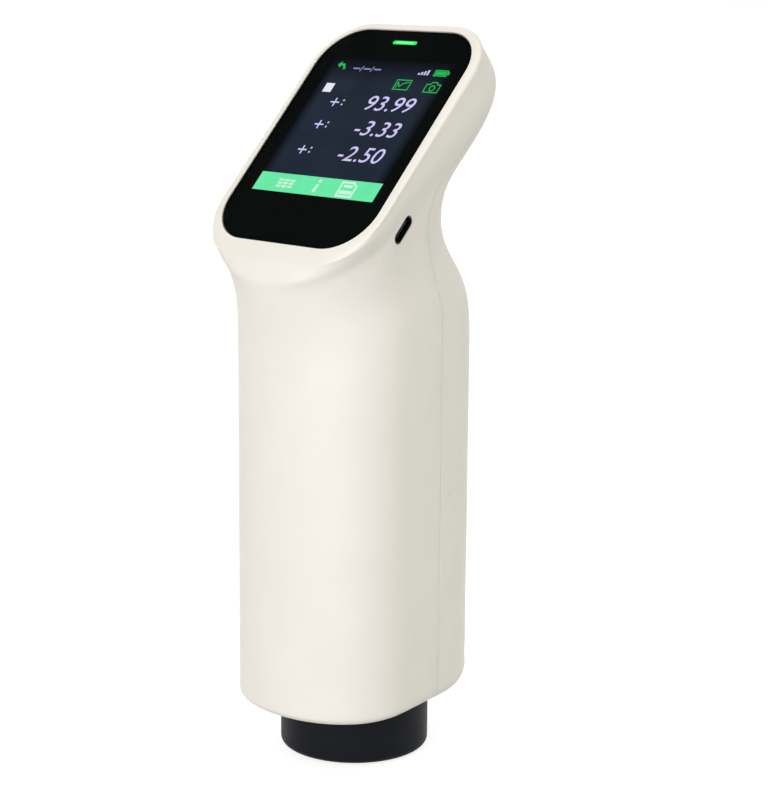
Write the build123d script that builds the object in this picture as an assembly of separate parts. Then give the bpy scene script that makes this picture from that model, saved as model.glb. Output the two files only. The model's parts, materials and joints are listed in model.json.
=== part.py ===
from build123d import *
from collections import namedtuple
from math import cos, degrees, hypot, pi, radians, sin, sqrt, tan
import os

# Frame: the origin is the centre of the contact plane under the measuring port.
# +Z runs up the measuring axis, the face looks towards -Y and up, +X is the user's right.
# All sizes are in millimetres.

# Grip, the upright egg-shaped column
grip_half_width = 27.6
grip_front = 35.4
grip_rear = 40.0
grip_taper = 0.17
grip_length = 104.4
base_round_front = 1.5
base_round_rear = 4.5

# Face, the tilted plane that carries the glass
face_tilt = 46.43
face_rise = 64.6
face_forward = 5.08
glass_width = 59.7
glass_length = 80.2
glass_corner = 14.2
glass_thickness = 1.1
glass_gap = 0.2
rim_land = 0.85

# Shells
wall = 2.2
ledge_thickness = 1.8
fit_gap = 0.3
seam_gap = 0.12
seam_depth = 15.4
seam_y = 8.0
seam_straight_top = 15.0
seam_neck_y = -2.6
seam_round = 16.0

# Display stack, seen along the face
display_width = 49.0
display_length = 51.0
display_up = 3.4
display_margin = 2.0
display_corner = 1.0
window_corner = 2.0
frame_rim = 1.0
tape_setback = 0.5
display_thickness = 2.4
frame_thickness = 0.6
tape_thickness = 0.3
status_slot_length = 10.1
status_slot_width = 2.2
status_up = 35.8
status_slot_room = 0.5

# Main board behind the display
board_thickness = 1.2
board_width = 50.0
board_length = 72.0
board_corner = 5.0
board_up = 2.8
board_boss_x = 19.0
board_boss_low = -29.5
board_boss_high = 35.8
socket_width = 8.94
socket_height = 3.2
socket_length = 9.0
socket_up = -22.7
socket_depth = 11.7
socket_shell = 0.3
socket_tongue_width = 6.6
socket_tongue_thickness = 0.7
socket_setback = 0.4
socket_back = 1.0
socket_tongue_back = 0.5
socket_opening_margin = 0.25
socket_mouth_flare = 1.2

# Components on the main board
led_size = 1.6
led_height = 0.8
can_width = 24.0
can_length = 22.0
can_height = 2.6
can_x = -2.0
can_up = 5.0
radio_width = 12.0
radio_length = 12.0
radio_height = 2.2
radio_x = -14.0
radio_up = 26.0
buzzer_radius = 4.5
buzzer_height = 3.0
buzzer_x = 8.0
buzzer_up = 25.0
buzzer_hole_radius = 0.8

# Measuring port
ring_radius = 22.5
ring_height = 17.0
ring_wall = 2.2
ring_floor = 2.0
ring_edge_round = 2.0
ring_flare = 0.6
ring_flare_height = 2.0
aperture_radius = 4.0
aperture_chamfer = 0.8
lug_count = 3
lug_low = 9.0
lug_height = 1.8
lug_reach = 1.2
lug_angle = 20.0
twist_range = 30.0
barrel_wall = 2.1
barrel_floor = 1.6
barrel_step = 0.9
barrel_flange = 2.0
barrel_flange_reach = 4.2
barrel_screw_x = 15.5
nose_wall = 0.8
nose_flange = 1.0
nose_flange_reach = 1.6
seal_thickness = 0.5
seal_radius = 11.0

# Integrating sphere
sphere_radius = 18.0
sphere_wall = 1.5
sphere_height = 28.0
sphere_flange = 1.5
sphere_flange_reach = 5.9
sphere_half_width = 24.2
sphere_boss_radius = 2.2
port_radius = 6.0
view_angle = 8.0
view_port_radius = 3.6
source_port_radius = 4.6
source_port_rise = 9.0
camera_angle = 17.0
camera_port_radius = 2.2
baffle_width = 11.0
baffle_height = 4.0
baffle_thickness = 1.0
baffle_y = 12.3

# Tubes and units on the sphere
tube_wall = 1.2
tube_length = 11.0
lens_thickness = 2.4
shutter_thickness = 0.6
shutter_overlap = 0.8
shutter_arm = 12.0
shutter_arm_width = 2.4
shutter_hub_radius = 2.0
shutter_hub_rise = 0.5
shutter_motor_radius = 4.0
shutter_shaft_radius = 0.75
shaft_clearance = 0.05
camera_length = 5.0
camera_wall = 0.8
camera_head_size = 8.0
camera_head_height = 3.5
source_board_y = 26.0
source_board_half = 12.0
source_board_below = 6.5
source_board_above = 8.0
emitter_size = 1.6
emitter_height = 0.7
emitter_pitch = 2.6
emitter_count = 6

# Deck and spectrometer
post_x = 20.5
post_y = 9.0
post_radius = 2.5
deck_height = 62.0
deck_thickness = 2.0
deck_half_width = 23.4
deck_half_length = 22.5
case_half_width = 17.5
case_half_length = 21.0
case_height = 22.0
case_wall = 1.6
lid_thickness = 1.4
lid_lip = 0.8
deck_boss_x = 12.5
deck_boss_y = -26.5
deck_boss_height = 9.0
deck_margin = 4.0
sensor_x = 6.5
sensor_half = 8.0
sensor_up = 11.0
sensor_height = 6.0
prism_size = 10.0
slit_width = 0.3
slit_length = 5.0
slit_up = 3.5
slit_plate_half = 6.0
slit_plate_height = 12.0
slit_plate_thickness = 0.8
slit_foot = 1.6
grating_half = 7.0
grating_thickness = 6.0
grating_hollow = 1.5
grating_radius = 40.0

# Battery
battery_width = 32.6
battery_thickness = 14.0
battery_length = 48.0
battery_y = -12.0
battery_corner = 5.0
tray_wall = 1.2
tray_height = 16.0

# Ribbon between the spectrometer and the main board
ribbon_width = 10.0
ribbon_thickness = 0.4
ribbon_clear_y = 9.0
ribbon_tuck = 6.0
ribbon_straight = 8.0
ribbon_slope = 24.0
ribbon_climb = 22.0
ribbon_run = 14.0
ribbon_bend = 4.0
ribbon_lift = 1.0
connector_width = 13.0
connector_length = 6.0
connector_height = 1.8
connector_up = -14.0
connector_inset = 3.0

# Measure button at the rear of the grip
button_width = 12.0
button_length = 22.0
button_height = 105.0
button_proud = 1.2
button_flange = 1.2
button_flange_reach = 1.6
button_cap_depth = 1.9
button_travel = 0.8
button_board_thickness = 1.2
button_switch_size = 6.0
button_switch_body = 3.0
button_switch_cap = 1.6
button_board_width = 18.0
button_board_length = 35.0
button_screw_rise = 15.2
bar_radius = 2.0

# Case screws and their bosses
boss_radius = 3.0
boss_x = 14.5
boss_low = 56.0
boss_high = 93.0
boss_top_above_battery = 28.0
boss_web = 2.0
front_boss_y = -2.5
web_clearance = 1.5
case_screw_grip = 4.0
screw_radius = 1.0
screw_head_radius = 1.9
screw_head_height = 1.4
screw_length = 9.0
small_screw_length = 5.0
screw_bite = 0.05
screw_play = 0.1
screw_end_room = 1.0
plug_recess = 0.1
plug_length = 4.0

outline_points = 48
grip_bottom = ring_height
grip_top = grip_bottom + grip_length
face_height = grip_top + face_rise
tilt = radians(face_tilt)

# Housing shape

Row = namedtuple("Row", "front rear half_width corner taper")
NeckRow = namedtuple("NeckRow", "front_out front_up rear_in rear_up half_width taper")
HeadRow = namedtuple("HeadRow", "chin_share rear_out rear_depth side_out corner_out taper")

# Neck rows stand on the grip: the front swells out as the rear draws in.
neck_rows = (
    NeckRow(front_out=0.6, front_up=8.9, rear_in=3.3, rear_up=20.2, half_width=27.5, taper=0.14),
    NeckRow(front_out=1.8, front_up=15.4, rear_in=13.9, rear_up=35.3, half_width=27.5, taper=0.08),
)
# Head rows hang from the face: a share of the way down the chin in front,
# and the step beyond the glass edge and the depth under the face at the rear.
head_rows = (
    HeadRow(chin_share=1.0, rear_out=-21.8, rear_depth=25.5, side_out=-0.85, corner_out=13.2, taper=0.07),
    HeadRow(chin_share=0.7, rear_out=-1.4, rear_depth=21.0, side_out=0.55, corner_out=7.6, taper=0.03),
    HeadRow(chin_share=0.48, rear_out=2.2, rear_depth=14.3, side_out=2.1, corner_out=4.4, taper=0.0),
    HeadRow(chin_share=0.31, rear_out=3.4, rear_depth=2.9, side_out=2.75, corner_out=3.8, taper=0.0),
    HeadRow(chin_share=0.2, rear_out=3.3, rear_depth=1.2, side_out=2.75, corner_out=3.2, taper=0.0),
    HeadRow(chin_share=0.09, rear_out=2.4, rear_depth=0.3, side_out=1.95, corner_out=2.2, taper=0.0),
)
chin_reach = 3.1
chin_roll = 4.2
chin_drop = 2.75
chin_low = 23.1
round_steps = (0, 30, 60, 90)
grip_levels = (0.055, 0.1, 0.2, 0.42, 0.7, 0.9, 1.0)

face_plane = Plane(
    origin=(0, -face_forward, face_height),
    x_dir=(1, 0, 0),
    z_dir=(0, -sin(tilt), cos(tilt)),
)


def face_point(along, depth):
    """(y, z) of a point up the face from its centre and below its surface."""
    y = -face_forward + along * cos(tilt) + depth * sin(tilt)
    z = face_height + along * sin(tilt) - depth * cos(tilt)
    return (y, z)


def chin_point(share):
    """(y, z) on the chin's curve, from the glass edge (0) down to its lowest swell (1)."""
    edge = glass_length / 2 + rim_land
    start = face_point(-edge, 0)
    roll = face_point(-edge - chin_roll, 0)
    swell = (-grip_front - chin_reach, roll[1] - chin_drop)
    end = (-grip_front - chin_reach, grip_top + chin_low)
    weights = ((1 - share) ** 3, 3 * share * (1 - share) ** 2, 3 * share**2 * (1 - share), share**3)
    corners = (start, roll, swell, end)
    y = sum(weight * corner[0] for weight, corner in zip(weights, corners))
    z = sum(weight * corner[1] for weight, corner in zip(weights, corners))
    return (y, z)


def housing_rows():
    """Every cross-section of the housing, from the base up to the face."""
    rows = []
    for turn in round_steps:
        rows.append(base_row(1 - cos(radians(turn)), 1 - sin(radians(turn))))
    for share in grip_levels:
        rows.append(grip_row(grip_bottom + share * grip_length))
    for neck in neck_rows:
        front = (-grip_front - neck.front_out, grip_top + neck.front_up)
        rear = (grip_rear - neck.rear_in, grip_top + neck.rear_up)
        rows.append(Row(front, rear, neck.half_width, neck.half_width, neck.taper))
    for head in head_rows:
        rear = face_point(glass_length / 2 + head.rear_out, head.rear_depth)
        half_width = glass_width / 2 + head.side_out
        corner = glass_corner + head.corner_out
        rows.append(Row(chin_point(head.chin_share), rear, half_width, corner, head.taper))
    rear = face_point(glass_length / 2 + rim_land, 0)
    rows.append(Row(chin_point(0), rear, glass_width / 2 + rim_land, glass_corner + rim_land, 0.0))
    return rows


def base_row(rise, pull):
    """A cross-section of the rounded base edge; rise and pull are shares of its radius."""
    front = (-grip_front + pull * base_round_front, grip_bottom + rise * base_round_front)
    rear = (grip_rear - pull * base_round_rear, grip_bottom + rise * base_round_rear)
    half_width = grip_half_width - pull * (base_round_front + base_round_rear) / 2
    extra = pull * (base_round_rear - base_round_front) / 2
    taper = (grip_taper * grip_half_width + extra) / half_width
    return Row(front, rear, half_width, half_width, taper)


def grip_row(level):
    """A level cross-section of the grip."""
    return Row((-grip_front, level), (grip_rear, level), grip_half_width, grip_half_width, grip_taper)


def outline_reach(half_width, half_depth, corner, along_x, along_y):
    """Distance from the centre to a rounded rectangle in a direction of length one."""
    centre_x = half_width - corner
    centre_y = half_depth - corner
    along_x = abs(along_x)
    along_y = abs(along_y)
    if along_y * half_width <= centre_y * along_x:
        return half_width / along_x
    if along_x * half_depth <= centre_x * along_y:
        return half_depth / along_y
    middle = along_x * centre_x + along_y * centre_y
    return middle + sqrt(middle**2 - centre_x**2 - centre_y**2 + corner**2)


def section_face(row, inset):
    """One cross-section as a closed smooth outline, drawn in by inset all round."""
    depth = hypot(row.rear[0] - row.front[0], row.rear[1] - row.front[1])
    slope_y = (row.rear[0] - row.front[0]) / depth
    slope_z = (row.rear[1] - row.front[1]) / depth
    middle = (0, (row.front[0] + row.rear[0]) / 2, (row.front[1] + row.rear[1]) / 2)
    half_width = row.half_width - inset
    half_depth = depth / 2 - inset
    corner = min(row.corner - inset, 0.999 * half_width, 0.999 * half_depth)
    points = []
    for step in range(outline_points):
        turn = 2 * pi * step / outline_points
        length = hypot(half_width * cos(turn), half_depth * sin(turn))
        along_x = half_width * cos(turn) / length
        along_y = half_depth * sin(turn) / length
        reach = outline_reach(half_width, half_depth, corner, along_x, along_y)
        narrowing = 1 - row.taper * reach * along_y / half_depth
        points.append((reach * along_x * narrowing, reach * along_y))
    plane = Plane(origin=middle, x_dir=(1, 0, 0), z_dir=(0, -slope_z, slope_y))
    return plane.location * Face(Wire([Spline(*points, periodic=True)]))


def housing_solid(inset):
    """The housing's outer shape, or a smaller one inside it."""
    return loft([section_face(row, inset) for row in housing_rows()])


def grip_solid(inset):
    """The straight part of the grip as one block, or a smaller or larger one."""
    base = section_face(grip_row(grip_bottom + base_round_rear), inset)
    return extrude(base, grip_length - base_round_rear)


# Shared shapes


def disc(radius, low, high, x=0.0, y=0.0):
    """An upright cylinder between two heights."""
    return Pos(x, y, low) * Cylinder(radius, high - low, align=(Align.CENTER, Align.CENTER, Align.MIN))


def tube(outer, inner, low, high):
    """An upright tube between two heights."""
    return disc(outer, low, high) - disc(inner, low, high)


def cone(low_radius, high_radius, low, high):
    """An upright cone between two heights."""
    standing = (Align.CENTER, Align.CENTER, Align.MIN)
    return Pos(0, 0, low) * Cone(low_radius, high_radius, high - low, align=standing)


def block(low_x, high_x, low_y, high_y, low_z, high_z):
    """A box between two corners."""
    size = (high_x - low_x, high_y - low_y, high_z - low_z)
    return Pos(low_x, low_y, low_z) * Box(*size, align=(Align.MIN, Align.MIN, Align.MIN))


def lying(radius, low_y, high_y, x, z):
    """A cylinder along Y between two places."""
    return Location((x, low_y, z), (-90, 0, 0)) * disc(radius, 0, high_y - low_y)


def on_face(shape):
    """Place a shape drawn in the face's own frame: x across, y up the face, z out of it."""
    return face_plane.location * shape


def plate(width, length, corner, top, bottom, up=0.0):
    """A rounded plate under the face between two depths, placed in the model."""
    outline = Pos(0, up, -bottom) * RectangleRounded(width, length, corner)
    return on_face(extrude(outline, bottom - top))


def leaning(shape, angle, axis="X"):
    """Turn a shape about the specimen's centre, away from the measuring axis."""
    turn = Rot(angle, 0, 0) if axis == "X" else Rot(0, angle, 0)
    return turn * shape


def corners(half_x, half_y):
    """The four corner places of a rectangle."""
    return [(side * half_x, end * half_y) for side in (-1, 1) for end in (-1, 1)]


def together(shapes):
    """Separate solids that share one node."""
    return Compound(children=[solid for shape in shapes for solid in shape.solids()])


def screw(length):
    """A screw standing head up: the head's underside is at height 0."""
    drive_radius = screw_head_radius / 2
    drive_depth = screw_head_height / 2
    body = disc(screw_head_radius, 0, screw_head_height) + disc(screw_radius - screw_bite, -length, 0)
    drive = Pos(0, 0, screw_head_height - drive_depth) * extrude(RegularPolygon(drive_radius, 6), drive_depth)
    return body - drive


# Depths under the face
glass_depth = 0.1
tape_depth = glass_depth + glass_thickness
ledge_depth = tape_depth + tape_thickness
ledge_bottom = ledge_depth + ledge_thickness
display_bottom = tape_depth + display_thickness
frame_bottom = display_bottom + frame_thickness
board_bottom = socket_depth - socket_height / 2
board_top = board_bottom - board_thickness

module_width = display_width + 2 * display_margin
module_length = display_length + 2 * display_margin
window_width = module_width + 2 * fit_gap
window_length = module_length + 2 * fit_gap
socket_face_x = glass_width / 2 - socket_setback

# Levels up the measuring axis
barrel_radius = ring_radius - ring_wall - fit_gap
barrel_bottom = ring_floor + fit_gap + seal_thickness
barrel_inner = barrel_radius - barrel_wall
floor_top = grip_bottom + wall
flange_top = floor_top + barrel_flange
flange_radius = barrel_radius + barrel_flange_reach
sphere_outer = sphere_radius + sphere_wall
sphere_bottom = sphere_height - sqrt(sphere_radius**2 - port_radius**2)
sphere_flange_radius = sphere_outer + sphere_flange_reach
sphere_screw_place = barrel_radius + sphere_boss_radius
port_level = sphere_height - sqrt(sphere_outer**2 - port_radius**2)
nose_radius = port_radius + nose_wall
case_floor = deck_height + deck_thickness
case_top = case_floor + case_height
optics_floor = case_floor + case_wall
sensor_level = case_floor + sensor_up
source_level = sphere_height + source_port_rise
lid_top = case_top + lid_thickness
battery_bottom = lid_top + tray_wall
floor_screw_reach = wall - screw_end_room / 2
boss_seat = seam_y + seam_gap
front_web_y = post_y - post_radius - web_clearance
rear_web_y = post_y + post_radius + web_clearance
head_seat = boss_seat + case_screw_grip
boss_levels = (boss_low, boss_high, battery_bottom + boss_top_above_battery)
button_inner = grip_rear - wall - button_cap_depth
switch_top = button_inner - button_flange - fit_gap - button_travel
switch_y = switch_top - button_switch_cap - button_switch_body


# Shells


def front_region(shift):
    """Everything in front of the seam, which runs up the grip and then along the head."""
    neck_along = (seam_neck_y + face_forward - seam_depth * sin(tilt)) / cos(tilt)
    far = 3 * glass_length
    path = FilletPolyline(
        (seam_y, -far),
        (seam_y, grip_top + seam_straight_top),
        face_point(neck_along, seam_depth),
        face_point(far, seam_depth),
        radius=seam_round,
    )
    end = face_point(far, seam_depth)
    rest = Polyline(end, (-far, end[1]), (-far, -far), (seam_y, -far))
    side = Plane(origin=(-glass_width, shift, 0), x_dir=(0, 1, 0), z_dir=(1, 0, 0))
    return extrude(side * make_face(path.edges() + rest.edges()), 2 * glass_width)


def status_slot(margin, top, bottom):
    """The status light's slot under the face between two depths."""
    outline = SlotOverall(status_slot_length + 2 * margin, status_slot_width + 2 * margin)
    return on_face(extrude(Pos(0, status_up, -bottom) * outline, bottom - top))


def housing():
    """The hollow housing in one piece, before the seam parts it."""
    pocket_width = glass_width + 2 * glass_gap
    pocket_length = glass_length + 2 * glass_gap
    above = -1.0
    below = ledge_bottom + 1.0
    openings = [
        inner_room(),
        plate(pocket_width, pocket_length, glass_corner + glass_gap, above, ledge_depth),
        plate(window_width, window_length, window_corner, above, below, display_up),
        status_slot(status_slot_room, above, below),
        disc(barrel_radius + fit_gap, grip_bottom - 1.0, floor_top + 1.0),
        socket_opening(),
        button_opening(),
    ]
    return housing_solid(0.0) - openings


def inner_room():
    """The room inside the shells, from the floor to the ledge behind the glass."""
    room = 2 * glass_length
    under_floor = block(-room, room, -room, room, -room, floor_top)
    over_ledge = on_face(block(-room, room, -room, room, -ledge_bottom, room))
    return housing_solid(wall) - [under_floor, over_ledge]


def socket_slot(x, margin, length):
    """A rounded slot at the charging socket, pushed out along +X."""
    plane = Plane(origin=(x, socket_up, -socket_depth), x_dir=(0, 1, 0), z_dir=(1, 0, 0))
    slot = SlotOverall(socket_width + 2 * margin, socket_height + 2 * margin)
    return extrude(plane * slot, length)


def socket_opening():
    """The slot in the right wall for the plug, flared a little at the skin."""
    skin = glass_width / 2
    plane = Plane(origin=(skin, socket_up, -socket_depth), x_dir=(0, 1, 0), z_dir=(1, 0, 0))
    narrow = SlotOverall(socket_width + 2 * socket_opening_margin, socket_height + 2 * socket_opening_margin)
    flare = extrude(plane * narrow, socket_mouth_flare, taper=-45)
    slot = socket_slot(skin - 2 * wall, socket_opening_margin, 4 * wall)
    return on_face(slot + flare)


def button_outline(margin):
    """The button's outline on the rear of the grip, drawn along +Y."""
    plane = Plane(origin=(0, 0, button_height), x_dir=(0, 0, 1), z_dir=(0, 1, 0))
    return plane * SlotOverall(button_length + 2 * margin, button_width + 2 * margin)


def button_opening():
    return extrude(Pos(0, grip_rear / 2, 0) * button_outline(fit_gap), grip_rear)


def case_boss(side, level, low_y, high_y, web_low, web_high):
    """A screw boss with the web that ties it to the side wall between two places."""
    body = lying(boss_radius, low_y, high_y, side * boss_x, level)
    web = block(boss_x, grip_half_width, web_low, web_high, level - boss_web / 2, level + boss_web / 2)
    return body + (web if side > 0 else mirror(web, Plane.YZ))


def front_bosses():
    """Bosses in front of the seam, whose webs end before the posts of the deck."""
    span = (front_boss_y, seam_y, front_boss_y, front_web_y)
    return [case_boss(side, level, *span) for side, level in case_places()]


def rear_bosses():
    """Bosses behind the seam, whose webs start behind the posts of the deck."""
    span = (boss_seat, grip_rear, rear_web_y, grip_rear)
    return [case_boss(side, level, *span) for side, level in case_places()]


def case_places():
    """Side and level of each screw that joins the two shells."""
    return [(side, level) for side in (-1, 1) for level in boss_levels]


def deck_places():
    return [(-deck_boss_x, deck_boss_y), (deck_boss_x, deck_boss_y)]


def board_places():
    return [(x, up) for x in (-board_boss_x, board_boss_x) for up in (board_boss_low, board_boss_high)]


def deck_boss(x, y):
    """A post on the front wall that the deck is screwed to."""
    low = deck_height - deck_boss_height
    body = disc(boss_radius, low, deck_height, x, y)
    return body + block(x - boss_web / 2, x + boss_web / 2, -grip_front, y, low, deck_height)


def floor_holes():
    """Blind holes in the floor for the screws of the barrel."""
    low = floor_top - floor_screw_reach
    return [disc(screw_radius, low, floor_top + 1.0, x, y) for x, y in barrel_screw_places()]


def front_shell():
    """Face frame, chin and front half of the grip, with bosses for what it carries."""
    in_wall = grip_solid(wall / 2)
    bosses = [boss & in_wall for boss in front_bosses()]
    bosses += [deck_boss(x, y) & in_wall for x, y in deck_places()]
    bosses += [on_face(disc(boss_radius, -board_top, -ledge_bottom, x, up)) for x, up in board_places()]
    holes = [
        lying(screw_radius, front_boss_y - 1.0, seam_y + 1.0, side * boss_x, level)
        for side, level in case_places()
    ]
    reach = small_screw_length - screw_end_room
    board_hole = disc(screw_radius, -board_top - 1.0, reach - board_top)
    holes += [on_face(Pos(x, up, 0) * board_hole) for x, up in board_places()]
    low = deck_height - small_screw_length
    holes += [disc(screw_radius, low, deck_height + 1.0, x, y) for x, y in deck_places()]
    return (whole_housing & front_region(0)) + bosses - holes - floor_holes()


def rear_shell():
    """Rear half of the grip, neck and back of the head."""
    in_wall = grip_solid(wall / 2)
    bosses = [boss & in_wall for boss in rear_bosses()]
    bosses += [lying(bar_radius, switch_y, grip_rear, 0, level) & in_wall for level in button_bar_levels()]
    holes = [
        lying(screw_radius + screw_play, boss_seat - 1.0, grip_rear, side * boss_x, level)
        for side, level in case_places()
    ]
    holes += [
        lying(screw_head_radius + 2 * screw_play, head_seat, grip_rear, side * boss_x, level)
        for side, level in case_places()
    ]
    reach = small_screw_length - screw_end_room
    low_y = switch_y - 1.0
    holes += [lying(screw_radius, low_y, switch_y + reach, 0, level) for level in button_bar_levels()]
    return (whole_housing - front_region(seam_gap)) + bosses - holes - floor_holes()


# Face and display


def cover_glass():
    return plate(glass_width, glass_length, glass_corner, glass_depth, tape_depth)


def glass_tape():
    """The adhesive ring that holds the glass on the ledge."""
    width = glass_width - 2 * tape_setback
    length = glass_length - 2 * tape_setback
    ring = plate(width, length, glass_corner - tape_setback, tape_depth, ledge_depth)
    window = plate(window_width, window_length, window_corner, tape_depth, ledge_depth, display_up)
    return ring - [window, status_slot(status_slot_room, tape_depth, ledge_depth)]


def display_panel():
    return plate(module_width, module_length, display_corner, tape_depth, display_bottom, display_up)


def display_frame():
    """The metal tray that clips the display against the ledge."""
    width = window_width + 2 * frame_rim
    length = window_length + 2 * frame_rim
    tray = plate(width, length, window_corner, ledge_bottom, frame_bottom, display_up)
    return tray - plate(module_width, module_length, display_corner, ledge_bottom, display_bottom, display_up)


def light_pipe():
    """Clear bar that carries the status light from the board to the glass."""
    return status_slot(0, tape_depth, board_top - led_height)


def status_led():
    half = led_size / 2
    return on_face(block(-half, half, status_up - half, status_up + half, -board_top, led_height - board_top))


def main_board():
    board = plate(board_width, board_length, board_corner, board_top, board_bottom, board_up)
    hole = disc(screw_radius + screw_play, -board_bottom - 1.0, 1.0 - board_top)
    return board - [on_face(Pos(x, up, 0) * hole) for x, up in board_places()]


def board_screws():
    """Four screws from the back of the board into the front shell."""
    piece = screw(board_thickness + small_screw_length - 2 * screw_end_room)
    turned = Rot(180, 0, 0) * piece
    return together([on_face(Pos(x, up, -board_bottom) * turned) for x, up in board_places()])


def usb_socket():
    """Charging and data socket: a rounded metal shell with its tongue."""
    start = socket_face_x - socket_length
    room = socket_slot(start + socket_back, -socket_shell, socket_length)
    shell = socket_slot(start, 0, socket_length) - room
    half_width = socket_tongue_width / 2
    half_height = socket_tongue_thickness / 2
    tongue = block(
        start + socket_tongue_back, socket_face_x - socket_back,
        socket_up - half_width, socket_up + half_width,
        -socket_depth - half_height, -socket_depth + half_height,
    )
    return on_face(shell + tongue)


def on_board(x, up, width, length, height):
    """A component on the back of the main board."""
    low_x = x - width / 2
    low_up = up - length / 2
    low = -board_bottom - height
    return on_face(block(low_x, low_x + width, low_up, low_up + length, low, -board_bottom))


def shield_can():
    return on_board(can_x, can_up, can_width, can_length, can_height)


def radio_module():
    return on_board(radio_x, radio_up, radio_width, radio_length, radio_height)


def buzzer():
    low = -board_bottom - buzzer_height
    body = disc(buzzer_radius, low, -board_bottom, buzzer_x, buzzer_up)
    return on_face(body - disc(buzzer_hole_radius, low, low + 1.0, buzzer_x, buzzer_up))


# Measuring port


def lug_sector(inner, outer, low, high, start, end):
    """Part of a ring between two angles."""
    arc = tube(outer, inner, low, high)
    reach = 3 * outer
    first = Rot(0, 0, start) * block(0, reach, 0, reach, low, high)
    middle = Rot(0, 0, end - 90) * block(0, reach, 0, reach, low, high)
    return arc & first & middle


def lug_starts():
    return [count * 360.0 / lug_count for count in range(lug_count)]


def aperture_ring():
    """The black ring that touches the specimen; its lugs lock on the barrel by a part turn."""
    top = grip_bottom - fit_gap
    body = disc(ring_radius, 0, top)
    body = fillet(body.faces().sort_by(Axis.Z)[0].edges(), ring_edge_round)
    flare = cone(ring_radius, ring_radius + ring_flare, top - ring_flare_height, top)
    funnel_top = aperture_radius + aperture_chamfer
    inner = barrel_radius + fit_gap
    openings = [
        disc(inner, ring_floor, top + 1.0),
        disc(aperture_radius, -1.0, ring_floor + 1.0),
        cone(aperture_radius, funnel_top, ring_floor - aperture_chamfer, ring_floor),
    ]
    inside = inner - lug_reach
    anchor = ring_radius - ring_wall / 2
    high = lug_low + lug_height
    lugs = [lug_sector(inside, anchor, lug_low, high, at, at + lug_angle) for at in lug_starts()]
    return body + flare - openings + lugs


def port_barrel():
    """The fixed barrel under the sphere, with the bayonet track for the ring."""
    floor = tube(barrel_radius, nose_radius + fit_gap, barrel_bottom, barrel_bottom + barrel_floor)
    flange = tube(flange_radius, barrel_inner + barrel_step, floor_top, flange_top)
    pillar_top = sphere_height - sphere_flange
    pillars = [disc(sphere_boss_radius, flange_top, pillar_top, x, y) for x, y in sphere_screw_places()]
    body = tube(barrel_radius, barrel_inner, barrel_bottom, floor_top) + [floor, flange, *pillars]
    low = sphere_height - small_screw_length
    holes = [disc(screw_radius, low, sphere_height, x, y) for x, y in sphere_screw_places()]
    radius = screw_radius + screw_play
    holes += [disc(radius, floor_top - 1.0, flange_top + 1.0, x, y) for x, y in barrel_screw_places()]
    track = barrel_radius - lug_reach - fit_gap
    slack = lug_slack()
    lug_top = lug_low + lug_height
    for start in lug_starts():
        end = start + lug_angle + twist_range + slack
        holes.append(lug_sector(track, ring_radius, lug_low - fit_gap, lug_top + fit_gap, start - slack, end))
        entry = start + twist_range - slack
        holes.append(lug_sector(track, ring_radius, barrel_bottom - 1.0, lug_top, entry, end))
    return body - holes


def lug_slack():
    """The angle that leaves a clear gap at both ends of a lug."""
    return degrees(1.5 * fit_gap / barrel_radius)


def sphere_screw_places():
    place = sphere_screw_place
    return [(place, 0), (-place, 0), (0, place), (0, -place)]


def barrel_screw_places():
    return corners(barrel_screw_x, barrel_screw_x)


def port_nose():
    """White cone that carries the light from the sphere's port down to the aperture."""
    top = sphere_bottom
    neck = port_level - fit_gap
    flange_low = barrel_bottom + barrel_floor
    flange_high = flange_low + nose_flange
    outer_top = port_radius - fit_gap / 2
    body = disc(nose_radius, barrel_bottom, flange_high) + [
        disc(nose_radius + nose_flange_reach, flange_low, flange_high),
        cone(nose_radius, outer_top, flange_high, neck),
        disc(outer_top, neck, top),
    ]
    inner_low = aperture_radius + nose_wall
    return body - cone(inner_low, outer_top - nose_wall / 2, barrel_bottom, top)


def light_seal():
    """Foam ring under the barrel that keeps stray light out."""
    return tube(seal_radius, aperture_radius + nose_wall, barrel_bottom - seal_thickness, barrel_bottom)


def sphere_shape(radius):
    return Pos(0, 0, sphere_height) * Sphere(radius)


def sphere_half(low, high, flange_low, flange_high):
    """One half of the sphere with its flange, still without ports."""
    wide = sphere_half_width
    deep = sphere_flange_radius
    shell = sphere_shape(sphere_outer) & block(-deep, deep, -deep, deep, low, high)
    shell += disc(sphere_flange_radius, flange_low, flange_high) & block(-wide, wide, -deep, deep, low, high)
    radius = screw_radius + screw_play
    holes = [disc(radius, flange_low - 1.0, flange_high + 1.0, x, y) for x, y in sphere_screw_places()]
    return shell - [sphere_shape(sphere_radius), *holes]


def sphere_lower():
    low = sphere_height - sphere_outer
    half = sphere_half(low, sphere_height, sphere_height - sphere_flange, sphere_height)
    return half - disc(port_radius, low - 1.0, sphere_height)


def sphere_upper():
    """Upper half with the viewing, gloss-trap, source and camera ports."""
    high = sphere_height + sphere_outer
    beyond = high + sphere_flange
    half = sphere_half(sphere_height, high, sphere_height, sphere_height + sphere_flange)
    view_port = disc(view_port_radius, sphere_height, beyond)
    ports = [leaning(view_port, -view_angle), leaning(view_port, view_angle)]
    ports.append(leaning(disc(camera_port_radius, sphere_height, beyond), -camera_angle, "Y"))
    ports.append(lying(source_port_radius, 0, 2 * sphere_outer, 0, source_level))
    return half - ports


def sphere_baffle():
    """White plate that hides the light source from the specimen."""
    half = baffle_width / 2
    low = sphere_height + fit_gap
    upright = block(-half, half, baffle_y, baffle_y + baffle_thickness, low, low + baffle_height)
    foot = block(-half, half, baffle_y, sphere_radius, low, low + baffle_thickness)
    return (upright + foot) & sphere_shape(sphere_radius)


def sphere_screws():
    piece = screw(small_screw_length - screw_end_room)
    level = sphere_height + sphere_flange
    return together([Pos(x, y, level) * piece for x, y in sphere_screw_places()])


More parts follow.
